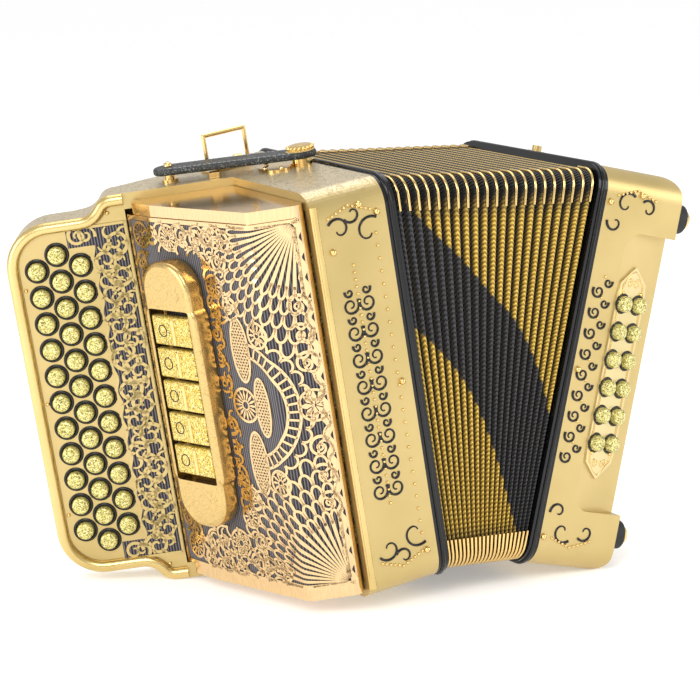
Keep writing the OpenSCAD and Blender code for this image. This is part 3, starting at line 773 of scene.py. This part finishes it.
# Register tablets: five glittered rockers, each with a bright raised rib down its middle.
TABLET_GLITTER = glitter("tablet_glitter", (0.45, 0.28, 0.02), (0.78, 0.54, 0.05))
for i in range(5):
    bpy.ops.mesh.primitive_cube_add(size=1)
    tab = bpy.context.object
    tab.name = "register_tablet_%d" % (i + 1)
    bpy.ops.object.mode_set(mode="EDIT")
    bpy.ops.transform.resize(value=(40, 21, 5))
    bpy.ops.object.mode_set(mode="OBJECT")
    crown(tab, 1.2, 0.8, 0, 0)
    bevel = tab.modifiers.new("edges", "BEVEL")
    bevel.width, bevel.segments = 0.7, 2
    bpy.ops.object.modifier_apply(modifier="edges")
    tab.data.transform(facet_matrix(REG_S, REG_Z + (2 - i) * TAB_PITCH, REG_H - 3.2))
    tab.data.materials.append(TABLET_GLITTER)
    bpy.ops.object.shade_smooth_by_angle(angle=math.radians(40))
    tab.select_set(False)
    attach(tab, "register_%d" % (i + 1))
    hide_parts("register_switch_%d" % (i + 1))
    z = REG_Z + (2 - i) * TAB_PITCH
    tube_piece("tablet_rib_%d" % (i + 1), [[on_grille(REG_S + 3, z + d, REG_H + 0.2)
               for d in range(-9, 10, 3)]], 0.0016, "register_%d" % (i + 1), TRIM_GOLD, sides=2)
    tube_piece("tablet_mark_%d" % (i + 1), [[on_grille(s, y, REG_H + 0.15) for s, y in
               circle_line(REG_S - 9, z, 4.2, 20)]], 0.0004, "register_%d" % (i + 1), BLACK_GLOSS, sides=1)

# Bellows: folded card covered in ribbed gold cloth with a dark sash across the front. Each fold
# is a rounded crest with a tight valley behind it, and shade is painted into the valleys as a dark brown.
FOLDS, FOLD_DEPTH = 21, 9.5


def fan(t, y, z):
    """A point between the two bellows frames: t is 0 at the treble frame and 1 at the bass one."""
    return on_treble(8.2, y, z) * (1 - t) + on_bass(-8.2, y, z) * t


def fold_loop():
    """Points round the outside of one fold, with rounded corners."""
    ry, lo, hi, r = 99.0, 4.0, 286.0, 12.0
    pts = []
    for cy, cz, a0 in ((ry - r, hi - r, 0), (-ry + r, hi - r, 90), (-ry + r, lo + r, 180),
                       (ry - r, lo + r, 270)):
        for i in range(6):
            t = math.radians(a0 + 18 * i)
            pts.append((cy + r * math.cos(t), cz + r * math.sin(t)))
    out = []
    for i, (y0, z0) in enumerate(pts):
        y1, z1 = pts[(i + 1) % len(pts)]
        cuts = max(1, int(math.hypot(y1 - y0, z1 - z0) / 18))
        for j in range(cuts):
            out.append((y0 + (y1 - y0) * j / cuts, z0 + (z1 - z0) * j / cuts))
    return out


outer_loop = fold_loop()
loop_n = len(outer_loop)
verts, crest, across, gusset = [], [], [], []
steps = [(0.0, FOLD_DEPTH, 0.0), (0.22, 2.6, 0.55), (0.36, 0.6, 0.9), (0.5, 0.0, 1.0), (0.64, 0.6, 0.9),
         (0.78, 2.6, 0.55)]
rings = [(i / FOLDS + f / FOLDS, d, c) for i in range(FOLDS) for f, d,
         c in steps] + [(1.0, FOLD_DEPTH, 0.0)]
for t, depth, high in rings:
    shape = [(y * (99.0 - depth) / 99.0, 145 + (z - 145) * (141.0 - depth) / 141.0) for y, z in outer_loop]
    for y, z in shape:
        verts.append(fan(t, y, z))
        # Painted shade: on the top and bottom faces the crest value is sharpened, so the painted valley
        # shade covers more of each fold there.
        on_flat = abs(z - 145) > 128 and abs(y) < 86
        crest.append(high ** 9 if on_flat else high)
        gusset.append(1.0 if abs(z - 145) > 116 and abs(y) > 84 else 0.0)
        across.append((t, z / CASE_H))
faces = []
for r in range(len(rings) - 1):
    for i in range(loop_n):
        j = (i + 1) % loop_n
        faces.append((r * loop_n + i, (r + 1) * loop_n + i, (r + 1) * loop_n + j, r * loop_n + j))
data = bpy.data.meshes.new("bellows_cloth")
data.from_pydata(verts, [], faces)
layer = data.uv_layers.new(name="UVMap")
for loop in data.loops:
    layer.data[loop.index].uv = across[loop.vertex_index]
high = data.attributes.new("crest", "FLOAT", "POINT")
high.data.foreach_set("value", crest)
corner = data.attributes.new("gusset", "FLOAT", "POINT")
corner.data.foreach_set("value", gusset)
bellows = pick("bellows_cloth", data)
face_outwards()
bpy.ops.object.shade_smooth()
bellows.select_set(False)

mat, nodes, links, shader = finish("bellows_gold_cloth", 0.35, 0.45)
shader.inputs["Sheen Weight"].default_value = 0.2
uv = node(nodes, "ShaderNodeUVMap", uv_map="UVMap")
split = nodes.new("ShaderNodeSeparateXYZ")
links.new(uv.outputs["UV"], split.inputs["Vector"])
place = nodes.new("ShaderNodeTexCoord")
rope = texture(nodes, links, "Wave", Scale=190.0, Distortion=0.6, Detail=2.0, bands_direction="DIAGONAL")
cloth = ramp(nodes, [(0.1, (0.30, 0.16, 0.008)), (0.5, (0.55, 0.35, 0.03)), (0.9, (0.78, 0.54, 0.09))])
links.new(rope.outputs["Fac"], cloth.inputs["Fac"])


def edge_curve(points):
    made = nodes.new("ShaderNodeFloatCurve")
    curve_map = made.mapping.curves[0]
    while len(curve_map.points) < len(points):
        curve_map.points.new(0.5, 0.5)
    for point, (a, b) in zip(curve_map.points, points):
        point.location = (a, b)
    made.mapping.update()
    links.new(split.outputs["X"], made.inputs["Value"])
    return made


upper = edge_curve([(0.0, 0.97), (0.16, 0.867), (0.305, 0.794), (0.5, 0.69), (0.63, 0.633),
                    (0.94, 0.417), (1.0, 0.36)])
lower = edge_curve([(0.0, 0.63), (0.15, 0.567), (0.35, 0.456), (0.55, 0.30), (0.78, 0.13), (1.0, 0.02)])


def beyond(big, small):
    less = node(nodes, "ShaderNodeMath", operation="SUBTRACT")
    links.new(big, less.inputs[0])
    links.new(small, less.inputs[1])
    sharp = node(nodes, "ShaderNodeMapRange")
    sharp.inputs["From Min"].default_value = -0.004
    sharp.inputs["From Max"].default_value = 0.004
    links.new(less.outputs["Value"], sharp.inputs["Value"])
    return sharp.outputs["Result"]


inside_band = node(nodes, "ShaderNodeMath", operation="MULTIPLY")
links.new(beyond(upper.outputs["Value"], split.outputs["Y"]), inside_band.inputs[0])
links.new(beyond(split.outputs["Y"], lower.outputs["Value"]), inside_band.inputs[1])
depthwise = node(nodes, "ShaderNodeSeparateXYZ")
links.new(place.outputs["Object"], depthwise.inputs["Vector"])
front = node(nodes, "ShaderNodeMapRange")
front.inputs["From Min"].default_value = -0.085
front.inputs["From Max"].default_value = -0.090
links.new(depthwise.outputs["Y"], front.inputs["Value"])
sash = node(nodes, "ShaderNodeMath", operation="MULTIPLY")
links.new(inside_band.outputs["Value"], sash.inputs[0])
links.new(front.outputs["Result"], sash.inputs[1])
dark = ramp(nodes, [(0.2, (0.006, 0.006, 0.008)), (0.9, (0.05, 0.05, 0.055))])
links.new(rope.outputs["Fac"], dark.inputs["Fac"])
first = node(nodes, "ShaderNodeMix", data_type="RGBA")
links.new(sash.outputs["Value"], first.inputs[0])
links.new(cloth.outputs["Color"], first.inputs[6])
links.new(dark.outputs["Color"], first.inputs[7])
# Painted shade: the crest value darkens each fold towards its valley, a dark brown painted where shade
# falls between the folds.
depth = node(nodes, "ShaderNodeAttribute", attribute_name="crest")
valley_painted_shade = ramp(nodes, [(0.42, (0, 0, 0)), (0.80, (1, 1, 1))])
links.new(depth.outputs["Fac"], valley_painted_shade.inputs["Fac"])
second = node(nodes, "ShaderNodeMix", data_type="RGBA")
# the dark brown of the painted valley shade
second.inputs[6].default_value = (0.018, 0.011, 0.003, 1)
links.new(valley_painted_shade.outputs["Color"], second.inputs[0])
links.new(first.outputs[2], second.inputs[7])
lap = node(nodes, "ShaderNodeAttribute", attribute_name="gusset")
third = node(nodes, "ShaderNodeMix", data_type="RGBA")
third.inputs[7].default_value = (0.006, 0.006, 0.007, 1)
links.new(lap.outputs["Fac"], third.inputs[0])
links.new(second.outputs[2], third.inputs[6])
links.new(third.outputs[2], shader.inputs["Base Color"])
add_bump(nodes, links, shader, rope.outputs["Fac"], 0.8, 0.0007)
data.materials.append(mat)
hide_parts("bellows_folds")
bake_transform(bellows)

# Bellows corners: a folded metal cap clasps every crest at each corner, over a black gusset.
lines = []
for i in range(FOLDS):
    t = (i + 0.5) / FOLDS
    for cy, cz, a0 in ((1, 1, 0), (-1, 1, 90), (-1, -1, 180), (1, -1, 270)):
        line = []
        for u in range(-2, 9):
            past = -u if u < 0 else u - 6
            if past <= 0:
                ang = math.radians(a0 + 15 * u)
                y, z = cy * 87.0 + 12.6 * math.cos(ang), 145 + cz * 129 + 12.6 * math.sin(ang)
            elif (u < 0) == (a0 in (0, 180)):
                y, z = cy * 99.6, 145 + cz * (129 - past * 5)
            else:
                y, z = cy * (87.6 - past * 5), 145 + cz * 141.6
            line.append(fan(t, y, z))
        lines.append(line)
caps = tube_piece("bellows_corner_caps", lines, 0.0011, None, TRIM_GOLD, sides=1)
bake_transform(caps)

# Bellows strap: black grained leather with a sparkling grey face and pale stitching, held on the
# rosette at one end and buttoned on a stud at the other.
ROSE, STUD = Vector((-8, 0)), Vector((-86, 56.5))
strap_way = (STUD - ROSE).normalized()
strap_side = Vector((-strap_way.y, strap_way.x))
STRAP_L, STRAP_W, STRAP_LO, STRAP_T = (STUD - ROSE).length, 22.0, 296.0, 4.5


def on_strap(u, v, z):
    p = ROSE + strap_way * u + strap_side * v
    return on_treble(p.x, p.y, z)


leather, nodes, links, shader = finish("strap_leather", 0.0, 0.5, 0.0)
grain = texture(nodes, links, "Voronoi", Scale=900.0)
fleck = texture(nodes, links, "Voronoi", Scale=1700.0)
split = nodes.new("ShaderNodeSeparateColor")
links.new(fleck.outputs["Color"], split.inputs["Color"])
tone = ramp(nodes, [(0.86, (0.010, 0.012, 0.012)), (0.98, (0.22, 0.24, 0.22))])
links.new(split.outputs["Red"], tone.inputs["Fac"])
links.new(tone.outputs["Color"], shader.inputs["Base Color"])
add_bump(nodes, links, shader, grain.outputs["Distance"], 0.5, 0.0004)


def stadium_bar(name, w0, lo, hi, mat, body):
    outline = []
    for i in range(17):
        t = math.radians(90 + 180 * i / 16)
        outline.append((w0 * math.cos(t), w0 * math.sin(t)))
    for i in range(17):
        t = math.radians(-90 + 180 * i / 16)
        outline.append((STRAP_L + w0 * math.cos(t), w0 * math.sin(t)))
    n = len(outline)
    verts, faces = [], []
    levels = ((0.93, lo), (1.0, lo + 1.0), (1.0, hi - 1.0), (0.93, hi), (0.80, hi + 0.15))
    for k, z in levels:
        for u, v in outline:
            mid = min(max(u, 0), STRAP_L)
            verts.append(on_strap(mid + (u - mid) * k, v * k, z))
    for r in range(len(levels) - 1):
        for i in range(n):
            faces.append((r * n + i, r * n + (i + 1) % n, (r + 1) * n + (i + 1) % n, (r + 1) * n + i))
    faces += [tuple(range(n - 1, -1, -1)), tuple((len(levels) - 1) * n + i for i in range(n))]
    return mesh_piece(name, verts, faces, body, mat, 40)


strap = stadium_bar("bellows_strap_leather", STRAP_W / 2, STRAP_LO, STRAP_LO + STRAP_T, leather,
                    "bellows_strap")
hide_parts("bellows_strap")
thread, nodes, links, shader = finish("thread", 0.0, 0.8)
shader.inputs["Base Color"].default_value = (0.35, 0.35, 0.33, 1)
fibre = texture(nodes, links, "Noise", Scale=900.0)
add_bump(nodes, links, shader, fibre.outputs["Fac"], 0.4, 0.0003)
stitches = []
for v in (-8.6, 8.6):
    for i in range(int(STRAP_L / 3.6)):
        u = 2 + i * 3.6
        stitches.append([on_strap(u + d, v, STRAP_LO + STRAP_T + 0.15) for d in (0, 1.1, 2.2)])
tube_piece("strap_stitching", stitches, 0.0003, "bellows_strap", thread, sides=0)

# Fittings on top: the strap's domed rosette and bracket, its stud, the wire ring and mute slider.
dress(["strap_fittings", "strap_ring", "mute_slider"], TRIM_GOLD)
bpy.ops.mesh.primitive_uv_sphere_add(segments=28, ring_count=14, radius=1)
dome = bpy.context.object
dome.name = "rosette_dome"
bpy.ops.object.mode_set(mode="EDIT")
bpy.ops.mesh.select_all(action="SELECT")
bpy.ops.transform.resize(value=(9.5, 9.5, 4.2))
bpy.ops.object.mode_set(mode="OBJECT")
for v in dome.data.vertices:
    v.co.z = max(v.co.z, 0.0)
top = on_treble(-8, 0, 301.2)
dome.data.transform(Matrix.Translation(top) @ Matrix.Rotation(-LEAN_T, 4, "Y") @ Matrix.Scale(0.001, 4))
dome.data.materials.append(TRIM_GOLD)
bpy.ops.object.shade_smooth()
dome.select_set(False)
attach(dome, "treble")
petals = [on_treble(-8 + 9.0 * math.cos(t), 9.0 * math.sin(t), 303.0)
          for t in [math.pi * i / 9 for i in range(18)]]
beads("rosette_petals", petals, 0.0015, "treble", TRIM_GOLD)
bracket_screws = [on_treble(x, y, 292.0) for x, y in ((-26, -3), (-26, 21), (-33, 9))]
beads("bracket_screws", bracket_screws, 0.0018, "treble", ROSE_GOLD)
stud_top = [on_treble(-86, 56.5, 301.2)]
beads("strap_stud_head", stud_top, 0.0035, "bellows_strap", TRIM_GOLD)

# Inlay on the casings' fronts: black scrolls set with small gold crystals and pearls, with a
# plain dotted vine up the middle.


def inlay(name, place, y, body, groups, dots, pearls):
    lines = []
    for cx, cz, r, start, turns, hand in groups:
        lines.append([place(cx + hand * (x - cx), y, z) for x,
                      z in spiral(cx, cz, r, r * 0.22, start, turns, 26)])
    tube_piece(name + "_scrolls", lines, 0.0009, body, BLACK_GLOSS, sides=1, taper=lambda t: 1.2 - 0.6 * t)
    beads(name + "_crystals", [place(x, y - 0.3, z) for x, z in dots], 0.0012, body, TRIM_GOLD)
    beads(name + "_pearls", [place(x, y - 0.5, z) for x, z in pearls], 0.0026, body, TRIM_GOLD)


vine = [(-30.5, z) for z in range(66, 238, 5)]
dots = vine + [(-10, z) for z in range(38, 262, 9)]
groups = []
for z0, side in ((262, 1), (34, -1)):
    groups += [(-15, z0 - 6 * side, 11, 0.9 * side, 0.75 * side, 1),
               (-37, z0, 9, 2.6 * side, -0.85 * side, 1)]
    groups += [(-26, z0 + 9 * side, 7, 3.6 * side, 0.8 * side, 1)]
    dots += [(-44 + i * 3.2, z0 + (15 - abs(i - 5) * 1.2) * side) for i in range(11)]
for z in range(76, 228, 19):
    groups += [(-24, z, 6.6, 2.6, 1.35, 1), (-37, z, 6.6, 2.6, 1.35, -1), (-24, z + 9, 3.4, 0.4, -1.1, 1)]
    groups += [(-37, z + 9, 3.4, 0.4, -1.1, -1)]
inlay("treble_inlay", on_treble, -HALF_D - 0.05, "treble", groups, dots,
      [(-7.3, 268), (-7.4, 148), (-8.3, 25), (-44, 248), (-20, 276)])

groups, dots = [], []
for z0, side in ((266, 1), (28, -1)):
    groups += [(18, z0, 9, 0.8 * side, 0.8 * side, 1), (37, z0 - 1 * side, 7, 2.4 * side, -0.85 * side, 1)]
    groups += [(11, z0 - 14 * side, 7, 3.0 * side, 0.8 * side, 1)]
    dots += [(10 + i * 3.2, z0 + (11 - abs(i - 5) * 1.1) * side) for i in range(11)]
for z in range(82, 216, 15):
    groups += [(8.5, z, 5.0, 2.6, 1.3, 1), (15.5, z + 7, 3.6, 0.4, -1.2, 1)]
    dots += [(12, z + 11)]
inlay("bass_inlay", on_bass, -HALF_D - 0.05, "bass", groups, dots,
      [(4, 266), (2.4, 23), (4, 145), (30, 274)])

# Bass casing: the same lacquer over wood, with a slanted recess for the bass buttons.
CASE_GOLD = satin_gold("case_gold", (0.52, 0.39, 0.15), (0.62, 0.47, 0.20), 0.36, 0.72)
dress(["bass_casing"], CASE_GOLD)
PALE = satin_gold("bass_plate_pale", (0.60, 0.48, 0.22), (0.72, 0.60, 0.32), 0.30, 0.85)
dress(["bass_button_plate"], PALE)
RECESS_T = math.atan2(12.0, 41.5)


def on_recess(u, z, out):
    x = 23.5 + u * math.cos(RECESS_T) + out * math.sin(RECESS_T)
    y = -HALF_D + u * math.sin(RECESS_T) - out * math.cos(RECESS_T)
    return on_bass(x, y, z)


plate_lines = []
for edge in (13.2, 11.9):
    mid = 7.5 + 16.5 / 2
    outline = [(mid - edge, 90), (mid - edge + 2, 81), (mid - 5, 74), (mid, 71), (mid + 5, 74),
               (mid + edge - 2, 81),
               (mid + edge, 90), (mid + edge, 201), (mid + edge - 2, 210), (mid + 5, 217), (mid, 220),
               (mid - 5, 217),
               (mid - edge + 2, 210), (mid - edge, 201), (mid - edge, 90)]
    plate_lines.append([on_recess(u, z, 1.65) for u, z in outline])
tube_piece("bass_plate_border", plate_lines, 0.00035, "bass", TRIM_GOLD, sides=1)
curls = []
for z, side in ((212, 1), (79, -1)):
    for hand in (-1, 1):
        curls.append([on_recess(15.75 + hand * (x - 15.75), y, 1.65) for x,
                      y in spiral(19.5, z - side, 3.4, 0.8, 1.0, side * 1.3)])
tube_piece("bass_plate_curls", curls, 0.0005, "bass", TRIM_GOLD, sides=1)
beads("bass_plate_screws", [on_recess(u, z, 1.8) for u, z in ((6, 204), (25.5, 204), (6, 87), (25.5, 87))],
      0.0015, "bass", TRIM_GOLD)

# Bass buttons: twelve glittered caps with dark collars, in two columns.
for column, body in ((0, "bass_inner"), (1, "bass_outer")):
    collars = []
    for i in range(6):
        u, z = 7.5 + column * 16.5, 145.3 + (i - 2.5) * 20.3
        bpy.ops.mesh.primitive_cylinder_add(vertices=28, radius=0.00575, depth=0.0062)
        cap = bpy.context.object
        cap.name = "bass_cap_%d_%d" % (column + 1, i + 1)
        crown(cap, 0.0009, 0.0008, 0.0020, 0.0004)
        bpy.ops.object.shade_smooth_by_angle(angle=math.radians(50))
        cap.data.transform(seat(on_recess, u, z, 0, 3.2))
        cap.data.materials.append(CAP_GLITTER)
        cap.select_set(False)
        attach(cap, body)
        collars.append([on_recess(u + 6.7 * math.cos(t), z + 6.7 * math.sin(t), 1.5) for t in
                        [2 * math.pi * j / 24 for j in range(24)]])
    tube_piece("bass_collars_%d" % (column + 1), collars, 0.0009, "bass", BLACK_GLOSS, sides=2,
               closed=True)
dress(["bass_buttons_inner", "bass_buttons_outer"], CAP_GLITTER)
dress(["air_button"], CAP_GLITTER)

# Feet: black rubber cups screwed to the outer side, each with a polished dome in its end.
rubber, nodes, links, shader = finish("foot_rubber", 0.0, 0.6)
shader.inputs["Base Color"].default_value = (0.012, 0.012, 0.013, 1)
grain = texture(nodes, links, "Noise", Scale=400.0, Detail=3.0)
add_bump(nodes, links, shader, grain.outputs["Fac"], 0.3, 0.0003)
dress(["bass_feet"], rubber)
for i, (y, z) in enumerate(((-HALF_D + 14, 28), (-HALF_D + 14, 262), (HALF_D - 22, 28),
                            (HALF_D - 22, 262))):
    bpy.ops.mesh.primitive_uv_sphere_add(segments=24, ring_count=12, radius=0.0078)
    tip = bpy.context.object
    tip.name = "foot_dome_%d" % (i + 1)
    bpy.ops.object.mode_set(mode="EDIT")
    bpy.ops.mesh.select_all(action="SELECT")
    bpy.ops.transform.resize(value=(0.7, 1, 1))
    bpy.ops.object.mode_set(mode="OBJECT")
    tip.data.transform(Matrix.Translation(on_bass(BASS_W + 11.6, y, z)) @ Matrix.Rotation(LEAN_B, 4, "Y"))
    tip.data.materials.append(TRIM_GOLD)
    bpy.ops.object.shade_smooth()
    tip.select_set(False)
    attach(tip, "bass")

# Hand strap: padded black leather bowed over the left hand, stitched along both edges.
verts, faces = [], []
section = [(-28, 1.0), (-26.5, 0.1), (-14, -0.4), (0, -0.7), (14, -0.4), (26.5, 0.1), (28, 1.0),
           (28, 4.0), (26.5, 5.0),
           (14, 5.8), (0, 6.2), (-14, 5.8), (-26.5, 5.0), (-28, 4.0)]
n = len(section)
for i in range(33):
    t = i / 32
    bow_out = 26 * math.sin(math.pi * t)
    for y, x in section:
        verts.append(on_bass(BASS_W + 0.3 + bow_out + max(x, 0.05), -14 + y, 26 + 214 * t))
for r in range(32):
    for i in range(n):
        faces.append((r * n + i, r * n + (i + 1) % n, (r + 1) * n + (i + 1) % n, (r + 1) * n + i))
faces += [tuple(range(n - 1, -1, -1)), tuple(32 * n + i for i in range(n))]
hand = mesh_piece("hand_strap_leather", verts, faces, "bass", leather, 50)
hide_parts("hand_strap")
stitches = []
for y in (-24.5, 24.5):
    for i in range(58):
        t0, t1 = (i + 0.5) / 60, (i + 1.1) / 60
        stitches.append([on_bass(BASS_W + 5.6 + 26 * math.sin(math.pi * t), -14 + y, 26 + 214 * t)
                         for t in (t0, t1)])
tube_piece("hand_strap_stitching", stitches, 0.0004, "bass", thread, sides=0)

# Inside parts: planed wooden boards and reed blocks, and the ground steel axle of the levers.
wood, nodes, links, shader = finish("planed_wood", 0.0, 0.55)
place = nodes.new("ShaderNodeTexCoord")
stretch = nodes.new("ShaderNodeMapping")
stretch.inputs["Scale"].default_value = (60, 60, 6)
grain = node(nodes, "ShaderNodeTexNoise", Scale=2.0, Detail=5.0)
links.new(place.outputs["Object"], stretch.inputs["Vector"])
links.new(stretch.outputs["Vector"], grain.inputs["Vector"])
tone = ramp(nodes, [(0.3, (0.36, 0.22, 0.11)), (0.7, (0.58, 0.40, 0.22))])
links.new(grain.outputs["Fac"], tone.inputs["Fac"])
links.new(tone.outputs["Color"], shader.inputs["Base Color"])
dress(["treble_soundboard", "bass_reed_block"], wood)
dress(["key_axle"], polished("axle_steel", (0.6, 0.6, 0.62), 0.25))

# Floor: plain and pale.
bpy.ops.mesh.primitive_plane_add(size=80)
floor = bpy.context.object
floor.name = "floor"
floor_mat, nodes, links, shader = finish("floor_white", 0.0, 0.75)
shader.inputs["Base Color"].default_value = (0.92, 0.92, 0.92, 1)
shader.inputs["Emission Color"].default_value = (1, 1, 1, 1)
shader.inputs["Emission Strength"].default_value = 0.32
floor.data.materials.append(floor_mat)
floor.select_set(False)
